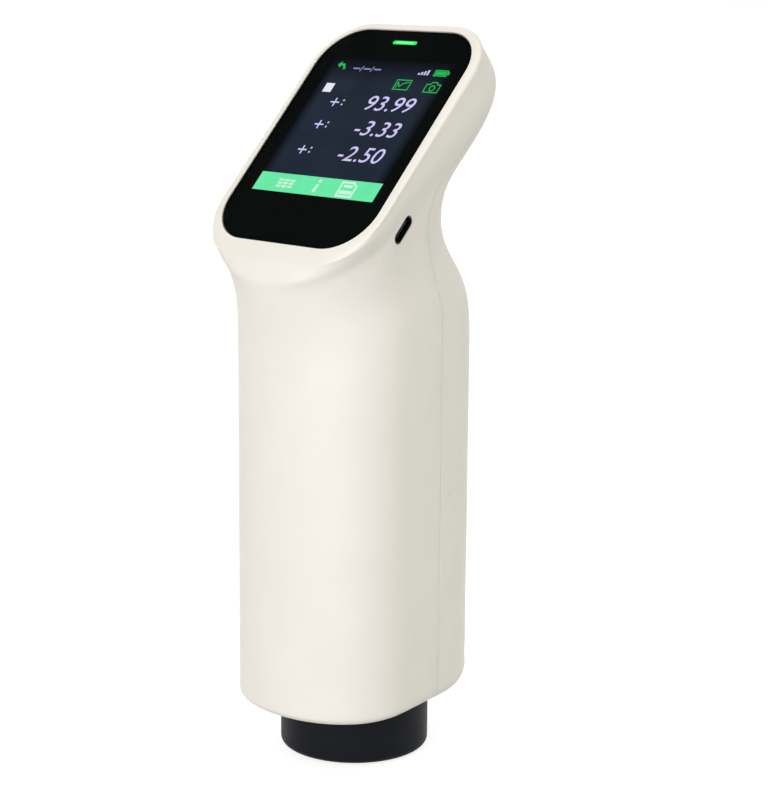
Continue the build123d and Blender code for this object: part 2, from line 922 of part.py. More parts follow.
def barrel_screws():
    """Four screws through the barrel's flange into the floor of the shells."""
    piece = screw(barrel_flange + floor_screw_reach - screw_play)
    return together([Pos(x, y, flange_top) * piece for x, y in barrel_screw_places()])


# Units that look into the sphere


def port_start(angle):
    """Distance from the specimen to the sphere's outer skin along a leaning port."""
    lean = radians(angle)
    return sphere_height * cos(lean) + sqrt(sphere_outer**2 - (sphere_height * sin(lean)) ** 2)


def below_deck(shape):
    """Trim a leaning unit flat against the underside of the deck."""
    room = 2 * glass_length
    return shape - block(-room, room, -room, room, deck_height, 2 * room)


def lens_tube():
    """Viewing tube that leans 8 degrees from the measuring axis."""
    outer = view_port_radius + tube_wall
    body = leaning(tube(outer, view_port_radius, sphere_height, 2 * deck_height), -view_angle)
    return below_deck(body - sphere_shape(sphere_outer))


def measuring_lens():
    middle = port_start(view_angle) + tube_length / 2
    return leaning(disc(view_port_radius, middle, middle + lens_thickness), -view_angle)


def gloss_trap():
    """Dark cup opposite the viewing tube that swallows the mirror reflection."""
    low = shutter_level() + shutter_thickness + fit_gap
    outer = view_port_radius + tube_wall
    body = disc(outer, low, 2 * deck_height) - disc(view_port_radius, low - 1.0, low + tube_length)
    return below_deck(leaning(body, view_angle))


def shutter_level():
    """The flag swings just above the crown of the sphere."""
    return sphere_height * cos(radians(view_angle)) + sphere_outer + fit_gap


def trap_shutter():
    """White flag that closes the gloss trap; it swings on the motor's shaft."""
    low = shutter_level()
    high = low + shutter_thickness
    half = shutter_arm_width / 2
    flag = disc(view_port_radius + shutter_overlap, low, high)
    arm = block(0, shutter_arm, -half, half, low, high)
    hub = disc(shutter_hub_radius, low, high + shutter_hub_rise, shutter_arm)
    bore = disc(shutter_shaft_radius + shaft_clearance, low - 1.0, high + 1.0, shutter_arm)
    return leaning(flag + [arm, hub] - bore, view_angle)


def shutter_motor():
    """Small geared motor under the deck, with its shaft."""
    low = shutter_level() + shutter_thickness + shutter_hub_rise + fit_gap
    body = disc(shutter_motor_radius, low, 2 * deck_height, shutter_arm)
    body += disc(shutter_shaft_radius, shutter_level(), low, shutter_arm)
    return below_deck(leaning(body, view_angle))


def view_camera():
    """Viewfinder camera that looks at the specimen through its own port."""
    end = port_start(camera_angle) + camera_length
    barrel = disc(camera_port_radius + camera_wall, sphere_height, end)
    barrel -= disc(camera_port_radius - camera_wall, sphere_height - 1.0, end - camera_length / 2)
    half = camera_head_size / 2
    head = block(-half, half, -half, half, end, end + camera_head_height)
    return leaning(barrel + head, -camera_angle, "Y") - sphere_shape(sphere_outer)


def source_hood():
    """Tube between the light source and the sphere, with a plate for the board."""
    body = lying(source_port_radius + tube_wall, sphere_radius / 2, source_board_y, 0, source_level)
    body += source_plate(source_board_y - tube_wall, source_board_y)
    bore = lying(source_port_radius, 0, source_board_y + 1.0, 0, source_level)
    return body - [bore, sphere_shape(sphere_outer)]


def source_plate(low_y, high_y):
    """An upright plate around the source's axis."""
    low = source_level - source_board_below
    return block(-source_board_half, source_board_half, low_y, high_y, low, source_level + source_board_above)


def led_board():
    return source_plate(source_board_y, source_board_y + board_thickness)


def led_emitters():
    """One emitter in the middle and a ring around it, one for each band of the spectrum."""
    half = emitter_size / 2
    low_y = source_board_y - emitter_height
    places = [(0.0, 0.0)]
    for count in range(emitter_count):
        turn = 2 * pi * count / emitter_count
        places.append((emitter_pitch * cos(turn), emitter_pitch * sin(turn)))
    chips = []
    for x, rise in places:
        level = source_level + rise
        chips.append(block(x - half, x + half, low_y, source_board_y, level - half, level + half))
    return together(chips)


# Deck and spectrometer


def sphere_posts():
    """Four posts from the sphere's flange up to the deck."""
    low = sphere_height + sphere_flange
    return together([disc(post_radius, low, deck_height, x, y) for x, y in corners(post_x, post_y)])


def optics_deck():
    """Metal plate that ties sphere, spectrometer and front shell together."""
    low_y = deck_boss_y - deck_margin
    body = block(-deck_half_width, deck_half_width, low_y, deck_half_length, deck_height, case_floor)
    radius = screw_radius + screw_play
    holes = [disc(radius, deck_height - 1.0, case_floor + 1.0, x, y) for x, y in deck_places()]
    holes.append(leaning(disc(view_port_radius, sphere_height, 2 * deck_height), -view_angle))
    return body & grip_solid(wall + fit_gap) - holes


def deck_screws():
    piece = screw(deck_thickness + small_screw_length - 2 * screw_end_room)
    return together([Pos(x, y, case_floor) * piece for x, y in deck_places()])


def case_block(low_z, high_z, inset=0.0):
    """The spectrometer's rectangle made solid between two heights."""
    half_width = case_half_width - inset
    half_length = case_half_length - inset
    return block(-half_width, half_width, -half_length, half_length, low_z, high_z)


def spectrometer_case():
    """Light-tight box with an entry hole in its floor and a window for the sensor."""
    room = case_block(optics_floor, case_top + 1.0, case_wall)
    entry = leaning(disc(view_port_radius, deck_height, case_top), -view_angle)
    window = block(
        sensor_x - sensor_half, sensor_x + sensor_half,
        case_half_length - case_wall - 1.0, case_half_length + 1.0,
        sensor_level - sensor_height / 2, sensor_level + sensor_height / 2,
    )
    return case_block(case_floor, case_top) - [room, entry, window]


def spectrometer_lid():
    return case_block(case_top, lid_top) + case_block(case_top - lid_lip, case_top, case_wall + screw_play)


def fold_prism():
    """Right-angle prism over the entry hole, which turns the beam towards the grating."""
    middle = optics_floor * tan(radians(view_angle))
    low_y = middle - prism_size / 2
    right = (low_y + prism_size, optics_floor)
    top = (low_y, optics_floor + prism_size)
    outline = Polyline((low_y, optics_floor), right, top, close=True)
    side = Plane(origin=(-prism_size / 2, 0, 0), x_dir=(0, 1, 0), z_dir=(1, 0, 0))
    return extrude(side * make_face(outline.edges()), prism_size)


def slit_plate():
    """Entrance slit on its stand, between the prism and the grating."""
    half = slit_plate_half
    low = optics_floor
    high_y = -slit_foot
    body = block(-half, half, high_y - slit_plate_thickness, high_y, low, low + slit_plate_height)
    body += block(-half, half, high_y - 2 * slit_foot, high_y, low, low + slit_plate_thickness)
    narrow = slit_width / 2
    slit_low = low + slit_up
    return body - block(-narrow, narrow, -2 * slit_foot, 0, slit_low, slit_low + slit_length)


def concave_grating():
    """Grating blank with its hollow face towards the slit."""
    low_y = case_wall - case_half_length
    high = optics_floor + 2 * grating_half
    body = block(-grating_half, grating_half, low_y, low_y + grating_thickness, optics_floor, high)
    deepest = low_y + grating_thickness - grating_hollow
    return body - Pos(0, deepest + grating_radius, optics_floor + grating_half) * Sphere(grating_radius)


def line_sensor():
    """Sensor chip in the window of the case, against its board."""
    half_width = sensor_half - fit_gap
    half_height = sensor_height / 2 - fit_gap
    return block(
        sensor_x - half_width, sensor_x + half_width,
        case_half_length - case_wall, case_half_length,
        sensor_level - half_height, sensor_level + half_height,
    )


def sensor_board():
    half = case_half_width - case_wall
    high_y = case_half_length + board_thickness
    return block(-half, half, case_half_length, high_y, case_floor + case_wall, case_top - case_wall)


# Battery


def battery_block(margin, low, high):
    """The battery's rounded rectangle, grown by a margin, between two heights."""
    outline = RectangleRounded(
        battery_width + 2 * margin, battery_thickness + 2 * margin, battery_corner + margin
    )
    return Pos(0, battery_y, low) * extrude(outline, high - low)


def battery_pack():
    return battery_block(0, battery_bottom, battery_bottom + battery_length)


def battery_tray():
    """Plastic cradle around the lower part of the battery, standing on the spectrometer."""
    high = battery_bottom + tray_height
    room = battery_block(fit_gap, battery_bottom, high + 1.0)
    return battery_block(fit_gap + tray_wall, lid_top, high) - room


# Measure button


def button_shape(margin, low_y, high_y):
    """The button's outline made solid between two places along Y."""
    return extrude(Pos(0, low_y, 0) * button_outline(margin), high_y - low_y)


def measure_button():
    """Key at the rear of the grip: crowned cap and the flange that keeps it in."""
    cap = button_shape(0, button_inner, grip_rear + 2 * button_proud) & grip_solid(-button_proud)
    return cap + button_shape(button_flange_reach, button_inner - button_flange, button_inner)


def button_switch():
    half = button_switch_size / 2
    body_top = switch_y + button_switch_body
    body = block(-half, half, switch_y, body_top, button_height - half, button_height + half)
    return body + lying(half / 2, body_top, switch_top, 0, button_height)


def button_bar_levels():
    return [button_height - button_screw_rise, button_height + button_screw_rise]


def button_board():
    """Small board on two bars of the rear shell."""
    half_width = button_board_width / 2
    half_length = button_board_length / 2
    low_y = switch_y - button_board_thickness
    board = block(
        -half_width, half_width, low_y, switch_y, button_height - half_length, button_height + half_length
    )
    radius = screw_radius + screw_play
    return board - [lying(radius, low_y - 1.0, switch_y + 1.0, 0, level) for level in button_bar_levels()]


def button_screws():
    piece = screw(button_board_thickness + small_screw_length - 2 * screw_end_room)
    y = switch_y - button_board_thickness
    return together([Location((0, y, level), (90, 0, 0)) * piece for level in button_bar_levels()])


# Fasteners of the case


def case_screws():
    """Six screws from the rear shell into the front shell's bosses."""
    piece = screw(screw_length)
    return together(
        [Location((side * boss_x, head_seat, level), (-90, 0, 0)) * piece for side, level in case_places()]
    )


def screw_plugs():
    """Rubber plugs in the mouths of the screw wells, a little below the rear shell's skin."""
    skin = grip_solid(plug_recess)
    core = grip_solid(plug_recess + plug_length)
    plug = lying(screw_head_radius + screw_play, head_seat, grip_rear, 0, 0)
    return together([(Pos(side * boss_x, 0, level) * plug & skin) - core for side, level in case_places()])


# Ribbon


def sensor_ribbon():
    """Flat cable from the spectrometer's board up to the main board."""
    half = ribbon_thickness / 2
    start_y = case_half_length + board_thickness + connector_height + half
    plug_depth = board_bottom + connector_height + half
    end_up = connector_up + connector_length / 3
    path = FilletPolyline(
        (start_y, case_top - ribbon_tuck),
        (start_y, case_top + ribbon_straight),
        (ribbon_clear_y, case_top + ribbon_straight + ribbon_slope),
        (ribbon_clear_y, case_top + ribbon_straight + ribbon_slope + ribbon_climb),
        face_point(end_up - ribbon_run, plug_depth + ribbon_lift),
        face_point(end_up, plug_depth),
        radius=ribbon_bend,
    )
    side = Plane(origin=(0, 0, 0), x_dir=(0, 1, 0), z_dir=(1, 0, 0))
    wire = side * Wire(path.edges())
    start = Plane(origin=wire @ 0, x_dir=(1, 0, 0), z_dir=wire % 0)
    return sweep(start * Rectangle(ribbon_width, ribbon_thickness), path=wire)


def ribbon_connectors():
    """The ribbon's two sockets, on the main board and on the sensor board."""
    half = connector_width / 2
    upper = on_board(0, connector_up, connector_width, connector_length, connector_height)
    low_y = case_half_length + board_thickness
    high = case_top - connector_inset
    lower = block(-half, half, low_y, low_y + connector_height, high - connector_length, high)
    return together([upper, lower])


whole_housing = housing()

nodes = {
    "front_shell": front_shell,
    "rear_shell": rear_shell,
    "cover_glass": cover_glass,
    "glass_tape": glass_tape,
    "display_panel": display_panel,
    "display_frame": display_frame,
    "light_pipe": light_pipe,
    "status_led": status_led,
    "main_board": main_board,
    "board_screws": board_screws,
    "usb_socket": usb_socket,
    "shield_can": shield_can,
    "radio_module": radio_module,
    "buzzer": buzzer,
    "ribbon_connectors": ribbon_connectors,
    "sensor_ribbon": sensor_ribbon,
    "aperture_ring": aperture_ring,
    "port_barrel": port_barrel,
    "port_nose": port_nose,
    "light_seal": light_seal,
    "sphere_lower": sphere_lower,
    "sphere_upper": sphere_upper,
    "sphere_baffle": sphere_baffle,
    "sphere_screws": sphere_screws,
    "barrel_screws": barrel_screws,
    "lens_tube": lens_tube,
    "measuring_lens": measuring_lens,
    "gloss_trap": gloss_trap,
    "trap_shutter": trap_shutter,
    "shutter_motor": shutter_motor,
    "view_camera": view_camera,
    "source_hood": source_hood,
    "led_board": led_board,
    "led_emitters": led_emitters,
    "sphere_posts": sphere_posts,
    "optics_deck": optics_deck,
    "deck_screws": deck_screws,
    "spectrometer_case": spectrometer_case,
    "spectrometer_lid": spectrometer_lid,
    "fold_prism": fold_prism,
    "slit_plate": slit_plate,
    "concave_grating": concave_grating,
    "line_sensor": line_sensor,
    "sensor_board": sensor_board,
    "battery_pack": battery_pack,
    "battery_tray": battery_tray,
    "measure_button": measure_button,
    "button_switch": button_switch,
    "button_board": button_board,
    "button_screws": button_screws,
    "case_screws": case_screws,
    "screw_plugs": screw_plugs,
}

os.makedirs("parts", exist_ok=True)
for name, make in nodes.items():
    export_step(make(), f"parts/{name}.step")
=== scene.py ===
import json
from math import cos, pi, radians, sin

import bmesh
import bpy
from mathutils import Matrix, Vector


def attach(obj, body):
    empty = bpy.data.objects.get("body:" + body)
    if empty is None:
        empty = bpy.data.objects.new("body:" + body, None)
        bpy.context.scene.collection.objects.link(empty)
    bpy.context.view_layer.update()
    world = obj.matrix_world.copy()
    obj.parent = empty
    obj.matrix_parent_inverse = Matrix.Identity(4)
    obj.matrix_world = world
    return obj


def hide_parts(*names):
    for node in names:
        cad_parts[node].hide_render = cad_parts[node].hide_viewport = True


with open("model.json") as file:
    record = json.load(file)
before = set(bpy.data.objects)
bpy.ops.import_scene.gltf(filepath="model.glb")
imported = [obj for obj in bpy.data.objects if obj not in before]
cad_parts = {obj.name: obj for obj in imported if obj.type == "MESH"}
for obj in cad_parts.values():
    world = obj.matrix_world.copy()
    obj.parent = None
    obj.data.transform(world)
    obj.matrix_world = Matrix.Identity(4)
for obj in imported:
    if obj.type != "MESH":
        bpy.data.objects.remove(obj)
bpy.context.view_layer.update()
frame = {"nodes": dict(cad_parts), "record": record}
scene = bpy.context.scene

MM = 0.001

# Face of the instrument, in millimetres: its tilt, its centre, and the glass
FACE_TILT = radians(46.43)
FACE_Y = -5.08
FACE_Z = 186.0
GLASS_WIDTH = 59.7
GLASS_LENGTH = 80.2
GLASS_CORNER = 14.2
GLASS_ROUND = 0.35

# Layers under the face, each from its top to its bottom
GLASS_LAYER = (0.1, 1.19)
EDGE_LAYER = (0.2, 1.07)
CORE_LAYER = (1.0, 1.03)
LIGHT_LAYER = (1.04, 1.07)
PRINT_LAYER = (1.08, 1.12)
MARK_LAYER = (1.09, 1.115)
BAR_LAYER = (1.12, 1.135)
IMAGE_LAYER = (1.14, 1.17)

# How far the print and the black edge stay inside the glass
PRINT_INSET = 0.15
EDGE_INSET = 0.12
EDGE_REACH = 0.4

# Lit area of the display, and where its middle lies on the face
DISPLAY_ACROSS = -0.3
DISPLAY_UP = 0.2
IMAGE_HALF_WIDTH = 24.5
IMAGE_LOW = -22.2
IMAGE_HIGH = 28.9
IMAGE_CORNER = 0.3
GROUND_MARGIN = 0.6
SIDE_FADE = 4.0
TOP_FADE = 7.0
BAR_LEFT = -23.8
BAR_HIGH = -15.5

# Readings: piece, number, its right end and the line that it stands on
DIGIT_HEIGHT = 5.4
DIGIT_STRETCH = 1.07
DIGIT_SLANT = 0.16
DIGIT_SPACING = 1.02
READINGS = (
    ("reading_first", "93.99", 18.3, 10.0),
    ("reading_second", "-3.33", 18.4, 0.7),
    ("reading_third", "-2.50", 18.4, -8.9),
)

# Marks before the readings: piece, its left end and its line
ROWS = (("row_first", -14.3, 11.4), ("row_second", -15.0, 2.8), ("row_third", -15.3, -6.9))

# Line of the thin marks
MARK_LINE = 0.34

# Status light and its brighter core
LIGHT_ACROSS = 0.1
LIGHT_UP = 35.9
LIGHT_WIDTH = 9.4
LIGHT_HEIGHT = 1.35
LIGHT_CORNER = 0.66
CORE_WIDTH = 6.6
CORE_HEIGHT = 0.6
CORE_CORNER = 0.29

# Moulded plastic: textures in cycles per metre, and how far its gloss wanders
CLOUD_SCALE = 45.0
GLOSS_SCALE = 160.0
GLOSS_DROP = 0.04
GLOSS_RISE = 0.05
GRAIN_STRENGTH = 0.35

# Studio, in metres
WORLD_LEVEL = 0.69
WORLD_COLOUR = (1.0, 0.997, 0.9, 1)
FLOOR_RADIUS = 9.0
FLOOR_DROP = 0.0002
FLOOR_COLOUR = (0.5, 0.5, 0.495, 1)
FLOOR_GLOW = 0.74
FLAG_SIDE = 0.8
FLAG_CORNER = 0.1
FLAG_AWAY = 0.7
FLAG_AIM = Vector((-0.663, -0.236, 0.710))
LAMP_AIM = Vector((0, 0, 0.11))
WHITE = (1, 1, 1)

# Lamps: name, place, size, power and colour
LAMPS = (
    ("key", (0.6, -1.35, 0.4), (1.6, 1.2), 16.5, (0.92, 0.888, 1.0)),
    ("top", (0.5, 0.3, 1.5), (1.4, 1.0), 2.0, WHITE),
    ("rear", (-1.3, 0.95, 0.6), (1.2, 1.0), 6.0, WHITE),
)

# Camera at the photograph's viewing angle: place in metres, axes, and lens and sensor in millimetres
CAMERA_PLACE = Vector((0.44206, -0.46765, 0.24022))
CAMERA_RIGHT = Vector((0.73488, 0.67814, 0.00816))
CAMERA_UP = Vector((-0.14159, 0.14164, 0.97974))
CAMERA_BACK = Vector((0.66325, -0.72115, 0.20011))
CAMERA_LENS = 100.76
CAMERA_SENSOR = 36.0
CAMERA_NEAR = 0.01
CAMERA_FAR = 20.0


def face_point(across, up, depth):
    """A point across and up the face and below its surface, in metres."""
    y = FACE_Y + up * cos(FACE_TILT) + depth * sin(FACE_TILT)
    z = FACE_Z + up * sin(FACE_TILT) - depth * cos(FACE_TILT)
    return Vector((across * MM, y * MM, z * MM))


# Materials


class Shade:
    """A small builder for one procedural material."""

    def __init__(self, name):
        self.material = bpy.data.materials.new(name)
        self.material.use_nodes = True
        self.tree = self.material.node_tree
        self.shader = self.tree.nodes["Principled BSDF"]
        place = self.tree.nodes.new("ShaderNodeTexCoord")
        self.place = place.outputs["Object"]

    def node(self, kind, **settings):
        found = self.tree.nodes.new(kind)
        for key, value in settings.items():
            setattr(found, key, value)
        return found

    def link(self, source, target):
        self.tree.links.new(source, target)

    def noise(self, scale, detail=3.0, roughness=0.55, stretch=None):
        found = self.node("ShaderNodeTexNoise")
        found.inputs["Scale"].default_value = scale
        found.inputs["Detail"].default_value = detail
        found.inputs["Roughness"].default_value = roughness
        source = self.place
        if stretch:
            mapping = self.node("ShaderNodeMapping")
            mapping.inputs["Scale"].default_value = stretch
            self.link(source, mapping.inputs["Vector"])
            source = mapping.outputs["Vector"]
        self.link(source, found.inputs["Vector"])
        return found.outputs["Fac"]

    def ramp(self, source, low, high, start=0.3, end=0.7):
        found = self.node("ShaderNodeValToRGB")
        found.color_ramp.elements[0].position = start
        found.color_ramp.elements[0].color = (*low, 1)
        found.color_ramp.elements[1].position = end
        found.color_ramp.elements[1].color = (*high, 1)
        self.link(source, found.inputs["Fac"])
        return found.outputs["Color"]

    def between(self, source, low, high, start=0.3, end=0.7):
        found = self.node("ShaderNodeMapRange")
        found.inputs["From Min"].default_value = start
        found.inputs["From Max"].default_value = end
        found.inputs["To Min"].default_value = low
        found.inputs["To Max"].default_value = high
        self.link(source, found.inputs["Value"])
        return found.outputs["Result"]

    def product(self, first, second):
        found = self.node("ShaderNodeMath", operation="MULTIPLY")
        self.link(first, found.inputs[0])
        self.link(second, found.inputs[1])
        return found.outputs[0]

    def bump(self, source, strength, distance):
        found = self.node("ShaderNodeBump")
        found.inputs["Strength"].default_value = strength
        found.inputs["Distance"].default_value = distance
        self.link(source, found.inputs["Height"])
        return found.outputs["Normal"]

    def wear(self, colour, edge_colour, start=0.52, end=0.6):
        """Edges that hands and dust have changed a little."""
        geometry = self.node("ShaderNodeNewGeometry")
        mask = self.between(geometry.outputs["Pointiness"], 0.0, 1.0, start, end)
        blotch = self.between(self.noise(320.0), 0.2, 1.0)
        mix = self.node("ShaderNodeMix", data_type="RGBA")
        self.link(self.product(mask, blotch), mix.inputs["Factor"])
        self.link(colour, mix.inputs["A"])
        mix.inputs["B"].default_value = (*edge_colour, 1)
        return mix.outputs["Result"]

    def put(self, socket, value):
        target = self.shader.inputs[socket]
        if isinstance(value, bpy.types.NodeSocket):
            self.link(value, target)
        else:
            target.default_value = value


def srgb(red, green, blue):
    """A colour as it is seen on screen, turned into the linear values that a shader takes."""
    out = []
    for part in (red, green, blue):
        part = part / 255
        out.append(part / 12.92 if part <= 0.04045 else ((part + 0.055) / 1.055) ** 2.4)
    return tuple(out)


def lighter(colour, factor):
    return tuple(min(1.0, part * factor) for part in colour)


def plastic(name, colour, rough, variation=0.04, grain=2600.0, depth=0.00002, worn=None, mirror=0.5):
    """Moulded plastic: a faint cloudiness, fine spark-eroded grain and uneven gloss."""
    shade = Shade(name)
    cloud = shade.noise(CLOUD_SCALE, 4.0)
    tint = shade.ramp(cloud, lighter(colour, 1 - variation), lighter(colour, 1 + variation))
    if worn:
        tint = shade.wear(tint, worn)
    shade.put("Base Color", tint)
    unevenness = shade.noise(GLOSS_SCALE, 4.0)
    shade.put("Roughness", shade.between(unevenness, rough - GLOSS_DROP, rough + GLOSS_RISE))
    shade.put("Normal", shade.bump(shade.noise(grain, 2.0), GRAIN_STRENGTH, depth))
    shade.put("Specular IOR Level", mirror)
    return shade.material


def metal(name, colour, rough, stretch=None, grain=1500.0, depth=0.00001):
    """Bare or plated metal with fine working marks."""
    shade = Shade(name)
    streak = shade.noise(grain, 3.0, 0.6, stretch)
    shade.put("Base Color", shade.ramp(streak, lighter(colour, 0.86), lighter(colour, 1.08)))
    shade.put("Metallic", 1.0)
    shade.put("Roughness", shade.between(shade.noise(240.0), rough - 0.06, rough + 0.08))
    shade.put("Normal", shade.bump(streak, 0.3, depth))
    return shade.material


def board_material(name):
    """Green circuit board with faint copper tracks under its solder mask."""
    shade = Shade(name)
    cells = shade.node("ShaderNodeTexVoronoi", feature="DISTANCE_TO_EDGE")
    cells.inputs["Scale"].default_value = 520.0
    shade.link(shade.place, cells.inputs["Vector"])
    tracks = shade.between(cells.outputs["Distance"], 1.0, 0.0, 0.02, 0.08)
    mask = shade.ramp(shade.noise(90.0), (0.008, 0.07, 0.03), (0.012, 0.10, 0.045))
    mix = shade.node("ShaderNodeMix", data_type="RGBA")
    shade.link(tracks, mix.inputs["Factor"])
    shade.link(mask, mix.inputs["A"])
    mix.inputs["B"].default_value = (0.03, 0.19, 0.07, 1)
    shade.put("Base Color", mix.outputs["Result"])
    shade.put("Roughness", shade.between(shade.noise(300.0), 0.28, 0.42))
    shade.put("Normal", shade.bump(tracks, 0.4, 0.00003))
    return shade.material


def glass_material(name, colour, ior=1.5, haze_rough=0.004):
    """Clear glass with a trace of cleaning haze."""
    shade = Shade(name)
    haze = shade.noise(70.0, 5.0)
    shade.put("Base Color", shade.ramp(haze, lighter(colour, 0.985), colour))
    shade.put("Transmission Weight", 1.0)
    shade.put("IOR", ior)
    shade.put("Roughness", shade.between(haze, 0.0, haze_rough))
    return shade.material


def glow_material(name, colour, strength=1.0, spread=0.06):
    """A lit part of the display, with a slightly uneven backlight."""
    shade = Shade(name)
    cloud = shade.ramp(shade.noise(220.0), lighter(colour, 1 - spread), colour)
    shade.put("Base Color", (0.0, 0.0, 0.0, 1))
    shade.put("Specular IOR Level", 0.0)
    shade.put("Roughness", 0.6)
    shade.put("Emission Color", cloud)
    shade.put("Emission Strength", strength)
    return shade.material


def bond_to_glass(material):
    """The shine of the glass over a layer that is bonded to its back."""
    shader = material.node_tree.nodes["Principled BSDF"]
    shader.inputs["Coat Weight"].default_value = 1.0
    shader.inputs["Coat Roughness"].default_value = 0.02
    shader.inputs["Coat IOR"].default_value = 1.3
    return material


def image_material():
    """The dark blue ground of the display, which fades towards its sides and its top."""
    shade = Shade("display_ground")
    cloud = shade.ramp(shade.noise(60.0), srgb(33, 40, 54), srgb(40, 47, 62))
    split = shade.node("ShaderNodeSeparateXYZ")
    shade.link(shade.place, split.inputs["Vector"])
    aside = shade.node("ShaderNodeMath", operation="ABSOLUTE")
    shade.link(split.outputs["X"], aside.inputs[0])
    half = IMAGE_HALF_WIDTH * MM
    fade_side = shade.between(aside.outputs[0], 1.0, 0.0, half - SIDE_FADE * MM, half)
    top = face_point(0, IMAGE_HIGH, 0).z
    fade_top = shade.between(split.outputs["Z"], 1.0, 0.0, top - TOP_FADE * MM, top)
    mix = shade.node("ShaderNodeMix", data_type="RGBA")
    mix.inputs["A"].default_value = (*srgb(10, 13, 15), 1)
    shade.link(shade.product(fade_side, fade_top), mix.inputs["Factor"])
    shade.link(cloud, mix.inputs["B"])
    shade.put("Base Color", (0.0, 0.0, 0.0, 1))
    shade.put("Specular IOR Level", 0.0)
    shade.put("Emission Color", mix.outputs["Result"])
    shade.put("Emission Strength", 1.0)
    return shade.material


IVORY = srgb(238, 235, 226)
WORN_BLACK = srgb(44, 44, 46)
ivory = plastic("ivory_plastic", IVORY, 0.42, variation=0.02, grain=1900.0, worn=lighter(IVORY, 0.93))
black = plastic("black_plastic", srgb(16, 18, 23), 0.5, 0.14, 2200.0, 0.00003, worn=WORN_BLACK, mirror=0.1)
dark_part = plastic("component_black", srgb(40, 40, 43), 0.45, variation=0.12, grain=3200.0)
white_coat = plastic("sphere_white", srgb(244, 244, 240), 0.85, variation=0.02, grain=3600.0, depth=0.00004)
plug_rubber = plastic("rubber", srgb(226, 223, 214), 0.7, variation=0.03, grain=1600.0, depth=0.00004)
foam = plastic("foam", srgb(30, 30, 32), 0.95, variation=0.25, grain=1500.0, depth=0.0002)
clear = plastic("clear_plastic", srgb(200, 212, 206), 0.2, grain=1200.0)
emitter = plastic("emitter", srgb(228, 214, 120), 0.3, variation=0.05, grain=1400.0)
film = plastic("ribbon", srgb(198, 130, 52), 0.3, variation=0.08, grain=900.0)
wrap = plastic("battery_wrap", srgb(62, 80, 128), 0.32, variation=0.08, grain=700.0)
panel_dark = plastic("display", srgb(22, 23, 29), 0.25, variation=0.1, grain=2400.0)
steel = metal("steel", srgb(190, 190, 192), 0.32, stretch=(1.0, 1.0, 0.15))
aluminium = metal("aluminium", srgb(205, 206, 209), 0.36, stretch=(0.1, 1.0, 1.0), grain=1200.0)
anodised = metal("anodised", srgb(46, 46, 49), 0.45, grain=2600.0)
# Darker metal for the charging socket: painted shade for the inside of its slot
socket_painted_shade = metal("socket_painted_shade", srgb(58, 57, 60), 0.4, grain=2000.0)
ruled = metal("grating", srgb(215, 216, 222), 0.15, stretch=(1.0, 0.02, 0.02), grain=6000.0)
board = board_material("board_green")
lens_glass = glass_material("optical_glass", (0.93, 0.97, 0.97))
pane_glass = glass_material("cover_glass", (0.985, 0.99, 0.99), ior=1.06)
print_black = bond_to_glass(plastic("glass_print", srgb(10, 14, 13), 0.5, 0.1, 900.0, mirror=0.0))
ground_lit = bond_to_glass(image_material())
glow_green = glow_material("display_green", srgb(110, 238, 172))
glow_pale = glow_material("display_pale", srgb(206, 250, 222))
glow_text = glow_material("display_text", srgb(214, 205, 255))
glow_dim = glow_material("display_dim", srgb(150, 148, 200))
glow_icon = glow_material("display_icon", srgb(40, 190, 84))
glow_white = glow_material("display_white", srgb(236, 236, 250))
glow_light = glow_material("status_green", srgb(40, 240, 96), strength=1.25)
glow_core = glow_material("status_core", srgb(150, 255, 190), strength=1.1)

MATERIALS = {
    "ivory_plastic": ivory,
    "black_plastic": black,
    "cover_glass": pane_glass,
    "display": panel_dark,
    "clear_plastic": clear,
    "board_green": board,
    "steel": steel,
    "aluminium": aluminium,
    "anodised": anodised,
    "sphere_white": white_coat,
    "rubber": plug_rubber,
    "foam": foam,
    "optical_glass": lens_glass,
    "grating": ruled,
    "component_black": dark_part,
    "ribbon": film,
    "battery_wrap": wrap,
    "emitter": emitter,
}

for part in frame["record"]["subparts"]:
    node = frame["nodes"][part["node"]]
    node.data.materials.clear()
    node.data.materials.append(MATERIALS[part["material_slot"]])
    for polygon in node.data.polygons:
        polygon.material_index = 0

# The charging socket gets a darker metal than the other steel parts: painted shade for the dark inside of
# its slot
frame["nodes"]["usb_socket"].data.materials[0] = socket_painted_shade


# Pieces


def add_piece(name, mesh, material, body="instrument"):
    """A finished mesh becomes a piece that rides on a body."""
    mesh.materials.append(material)
    piece = bpy.data.objects.new(name, mesh)
    scene.collection.objects.link(piece)
    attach(piece, body)
    return piece


def finished_mesh(name, build):
    """A build becomes a mesh whose faces look outwards."""
    bmesh.ops.recalc_face_normals(build, faces=build.faces)
    mesh = bpy.data.meshes.new(name)
    build.to_mesh(mesh)
    build.free()
    return mesh


def rounded(width, length, corner, steps=12):
    """Points around a rounded rectangle, counter-clockwise from its right side."""
    points = []
    for quarter, (side, end) in enumerate(((1, 1), (-1, 1), (-1, -1), (1, -1))):
        for step in range(steps + 1):
            turn = pi / 2 * (quarter + step / steps)
            x = side * (width / 2 - corner) + corner * cos(turn)
            y = end * (length / 2 - corner) + corner * sin(turn)
            points.append((x, y))
    return points


def glass_outline(inset, steps=12):
    """The outline of the cover glass, drawn in by an inset."""
    return rounded(GLASS_WIDTH - 2 * inset, GLASS_LENGTH - 2 * inset, GLASS_CORNER - inset, steps)


def moved(points, across, up):
    return [(x + across, y + up) for x, y in points]


def rectangle(left, right, low, high):
    return [(left, low), (right, low), (right, high), (left, high)]


def circle(across, up, radius, steps=16):
    turns = [2 * pi * step / steps for step in range(steps + 1)]
    return [(across + radius * cos(turn), up + radius * sin(turn)) for turn in turns]


